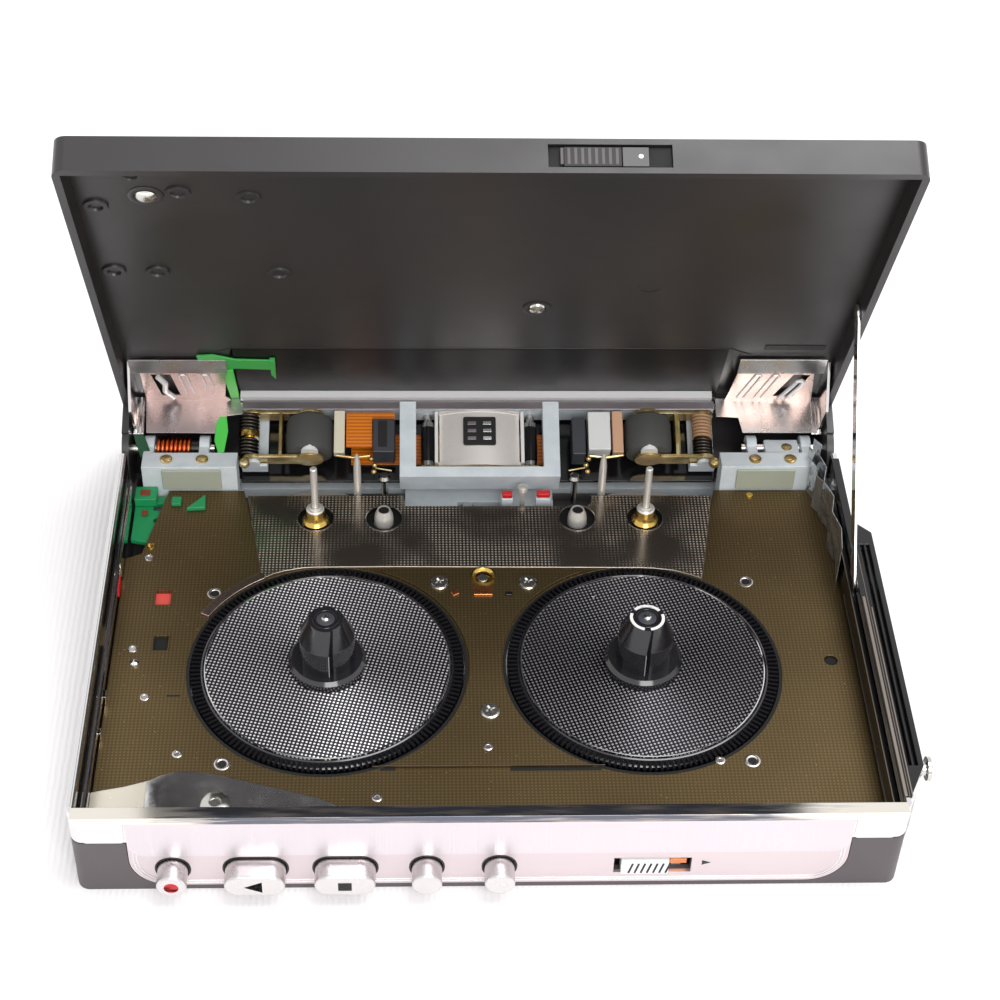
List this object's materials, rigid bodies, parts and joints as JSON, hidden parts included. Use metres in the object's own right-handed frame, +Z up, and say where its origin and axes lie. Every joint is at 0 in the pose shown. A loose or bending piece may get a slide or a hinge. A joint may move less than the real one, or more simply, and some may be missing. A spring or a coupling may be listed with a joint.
{
  "type": "portable cassette player",
  "caption": "Slim portable cassette recorder with its hinged lid open, showing the reel tables, capstans, tape head, pinch rollers and front control buttons.",
  "frame": {"origin": "middle of the case's flat underside, with the lid's opening left out", "axes": "+X to the right seen from the controls, +Y to the rear and the hinge, +Z up"},
  "size_m": [0.1081, 0.0853, 0.0793],
  "materials": {
    "black_shell": "black painted pressed metal, satin",
    "silver_panel": "fine brushed and clear anodised",
    "chrome_trim": "bright chromium plate",
    "black_gloss": "glossy black moulding",
    "steel_turned": "turned and nickel plated steel",
    "printed_plate": "dark olive-brown lacquer over steel sheet",
    "dark_chrome": "dark mirror plated sheet",
    "cast_blue_grey": "pale blue-grey zinc casting",
    "pad_grey_green": "soft translucent grey-green pad",
    "brass_bright": "bright turned brass",
    "copper_wire": "lacquered copper wire",
    "black_moulding": "black moulded plastic",
    "board_green": "green laminate with solder mask",
    "chip_black": "black moulded packages",
    "cell_steel": "plain cell can",
    "belt_rubber": "black rubber belt",
    "gear_white": "natural acetal",
    "button_silver": "satin anodised",
    "slide_red": "red acetal",
    "lever_green": "green acetal",
    "lid_black": "black painted sheet, satin",
    "latch_ribbed": "ribbed dark knob",
    "spring_sheet": "bright stainless spring sheet",
    "zinc_gold": "yellow passivated zinc plate",
    "roller_rubber": "dark grey rubber tyre",
    "head_metal": "polished head shield",
    "block_cream": "cream and dark mouldings",
    "flex_amber": "amber polyimide film",
    "spring_black": "blackened spring wire"
  },
  "bodies": {
    "base": {"bottom_shell": "black_shell", "front_panel": "silver_panel", "side_frame": "chrome_trim", "side_housing": "black_gloss", "side_stud": "steel_turned", "mechanism_plate": "printed_plate", "centre_plate": "printed_plate", "head_plate": "dark_chrome", "corner_plate": "chrome_trim", "rear_casting": "cast_blue_grey", "block_pads": "pad_grey_green", "block_screws": "brass_bright", "hinge_pins": "steel_turned", "hinge_spring": "copper_wire", "plate_pins": "steel_turned", "plate_screws": "steel_turned", "plate_eyelets": "steel_turned", "capstan_bushings": "brass_bright", "pivot_posts": "steel_turned", "motor_can": "cell_steel", "drive_belt": "belt_rubber", "circuit_board": "board_green", "board_parts": "chip_black", "battery_cell": "cell_steel", "cell_contacts": "spring_sheet", "earphone_jack": "black_moulding"},
    "lid": {"lid_shell": "lid_black", "lid_fasteners": "steel_turned", "holder_brackets": "spring_sheet", "head_base": "chrome_trim", "flex_cable": "flex_amber"},
    "latch": {"latch_slider": "latch_ribbed"},
    "stay": {"lid_stay": "spring_sheet"},
    "carriage": {"carriage_frame": "cast_blue_grey", "tape_head": "head_metal", "tape_guides": "steel_turned", "terminal_blocks": "block_cream", "arm_springs": "spring_black"},
    "pinch_arm_left": {"pinch_arm_left": "zinc_gold"},
    "pinch_roller_left": {"pinch_roller_left": "roller_rubber"},
    "pinch_arm_right": {"pinch_arm_right": "zinc_gold"},
    "pinch_roller_right": {"pinch_roller_right": "roller_rubber"},
    "reel_left": {"reel_hub_left": "black_moulding", "reel_disc_left": "chrome_trim"},
    "reel_right": {"reel_hub_right": "black_moulding", "reel_disc_right": "chrome_trim"},
    "capstan_left": {"capstan_rotor_left": "brass_bright"},
    "capstan_right": {"capstan_rotor_right": "brass_bright"},
    "motor_pulley": {"motor_pulley": "brass_bright"},
    "idler_arm": {"idler_arm": "brass_bright"},
    "idler_gear": {"idler_gear": "gear_white"},
    "rec_button": {"rec_button": "button_silver"},
    "play_button": {"play_button": "button_silver"},
    "stop_button": {"stop_button": "button_silver"},
    "forward_button": {"forward_button": "button_silver"},
    "rewind_button": {"rewind_button": "button_silver"},
    "lock_slider": {"lock_slider": "button_silver"},
    "safety_slide": {"safety_slide": "slide_red"},
    "green_lever": {"green_lever": "lever_green"}
  },
  "joints": [
    {"name": "lid_hinge", "type": "hinge", "parent": "base", "child": "lid", "pos_m": [0, 0.0333, 0.0103], "axis": [1, 0, 0], "range_deg": [0, 65]},
    {"name": "latch_slide", "type": "slide", "parent": "lid", "child": "latch", "axis": [1, 0, 0], "range_m": [0, 0.0026], "stiffness_N_per_m": 150, "springref_m": -0.001},
    {"name": "stay_swing", "type": "hinge", "parent": "lid", "child": "stay", "pos_m": [0.0508, 0.02536, 0.04224], "axis": [1, 0, 0], "range_deg": [-112.5, 0.5]},
    {"name": "carriage_slide", "type": "slide", "parent": "lid", "child": "carriage", "axis": [0, -0.4226, 0.9063], "range_m": [0, 0.005], "stiffness_N_per_m": 300, "springref_m": -0.003},
    {"name": "reel_left_spin", "type": "hinge", "parent": "base", "child": "reel_left", "pos_m": [-0.02125, -0.0079, 0.008], "axis": [0, 0, 1], "continuous": true},
    {"name": "reel_right_spin", "type": "hinge", "parent": "base", "child": "reel_right", "pos_m": [0.02125, -0.0079, 0.008], "axis": [0, 0, 1], "continuous": true},
    {"name": "capstan_left_spin", "type": "hinge", "parent": "base", "child": "capstan_left", "pos_m": [-0.02385, 0.0209, 0.0025], "axis": [0, 0, 1], "continuous": true},
    {"name": "capstan_right_spin", "type": "hinge", "parent": "base", "child": "capstan_right", "pos_m": [0.02385, 0.0209, 0.0025], "axis": [0, 0, 1], "continuous": true},
    {"name": "motor_spin", "type": "hinge", "parent": "base", "child": "motor_pulley", "pos_m": [0.042, 0.003, 0.0025], "axis": [0, 0, 1], "continuous": true},
    {"name": "idler_swing", "type": "hinge", "parent": "base", "child": "idler_arm", "pos_m": [0, 0.0087, 0.004], "axis": [0, 0, 1], "range_deg": [-12, 12]},
    {"name": "idler_spin", "type": "hinge", "parent": "idler_arm", "child": "idler_gear", "pos_m": [0, -0.002, 0.005], "axis": [0, 0, 1], "continuous": true},
    {"name": "lock_slide", "type": "slide", "parent": "base", "child": "lock_slider", "axis": [1, 0, 0], "range_m": [-0.0007, 0.0027]},
    {"name": "safety_slide_move", "type": "slide", "parent": "base", "child": "safety_slide", "axis": [0, 1, 0], "range_m": [-0.001, 0.001]},
    {"name": "green_lever_move", "type": "slide", "parent": "base", "child": "green_lever", "axis": [1, 0, 0], "range_m": [0, 0.0012], "stiffness_N_per_m": 100, "springref_m": -0.001},
    {"name": "pinch_arm_left_swing", "type": "hinge", "parent": "carriage", "child": "pinch_arm_left", "pos_m": [-0.0332, 0.03347, 0.01159], "axis": [0, 0.9063, 0.4226], "range_deg": [-14, 0]},
    {"name": "pinch_roller_left_spin", "type": "hinge", "parent": "pinch_arm_left", "child": "pinch_roller_left", "pos_m": [-0.025, 0.03338, 0.01177], "axis": [0, 0.9063, 0.4226], "continuous": true},
    {"name": "pinch_arm_right_swing", "type": "hinge", "parent": "carriage", "child": "pinch_arm_right", "pos_m": [0.0332, 0.03347, 0.01159], "axis": [0, 0.9063, 0.4226], "range_deg": [0, 14]},
    {"name": "pinch_roller_right_spin", "type": "hinge", "parent": "pinch_arm_right", "child": "pinch_roller_right", "pos_m": [0.025, 0.03338, 0.01177], "axis": [0, 0.9063, 0.4226], "continuous": true},
    {"name": "rec_press", "type": "slide", "parent": "base", "child": "rec_button", "axis": [0, 1, 0], "range_m": [0, 0.0011], "stiffness_N_per_m": 300, "springref_m": -0.001},
    {"name": "play_press", "type": "slide", "parent": "base", "child": "play_button", "axis": [0, 1, 0], "range_m": [0, 0.0011], "stiffness_N_per_m": 300, "springref_m": -0.001},
    {"name": "stop_press", "type": "slide", "parent": "base", "child": "stop_button", "axis": [0, 1, 0], "range_m": [0, 0.0011], "stiffness_N_per_m": 300, "springref_m": -0.001},
    {"name": "forward_press", "type": "slide", "parent": "base", "child": "forward_button", "axis": [0, 1, 0], "range_m": [0, 0.0011], "stiffness_N_per_m": 300, "springref_m": -0.001},
    {"name": "rewind_press", "type": "slide", "parent": "base", "child": "rewind_button", "axis": [0, 1, 0], "range_m": [0, 0.0011], "stiffness_N_per_m": 300, "springref_m": -0.001}
  ],
  "couplings": [
    {"joint": "stay_swing", "follows": "lid_hinge", "ratio": -1.7153},
    {"joint": "capstan_right_spin", "follows": "capstan_left_spin", "ratio": 1},
    {"joint": "motor_spin", "follows": "capstan_left_spin", "ratio": 4.5909},
    {"joint": "pinch_arm_left_swing", "follows": "carriage_slide", "rad_per_m": -48.82},
    {"joint": "pinch_arm_right_swing", "follows": "carriage_slide", "rad_per_m": 48.82}
  ]
}
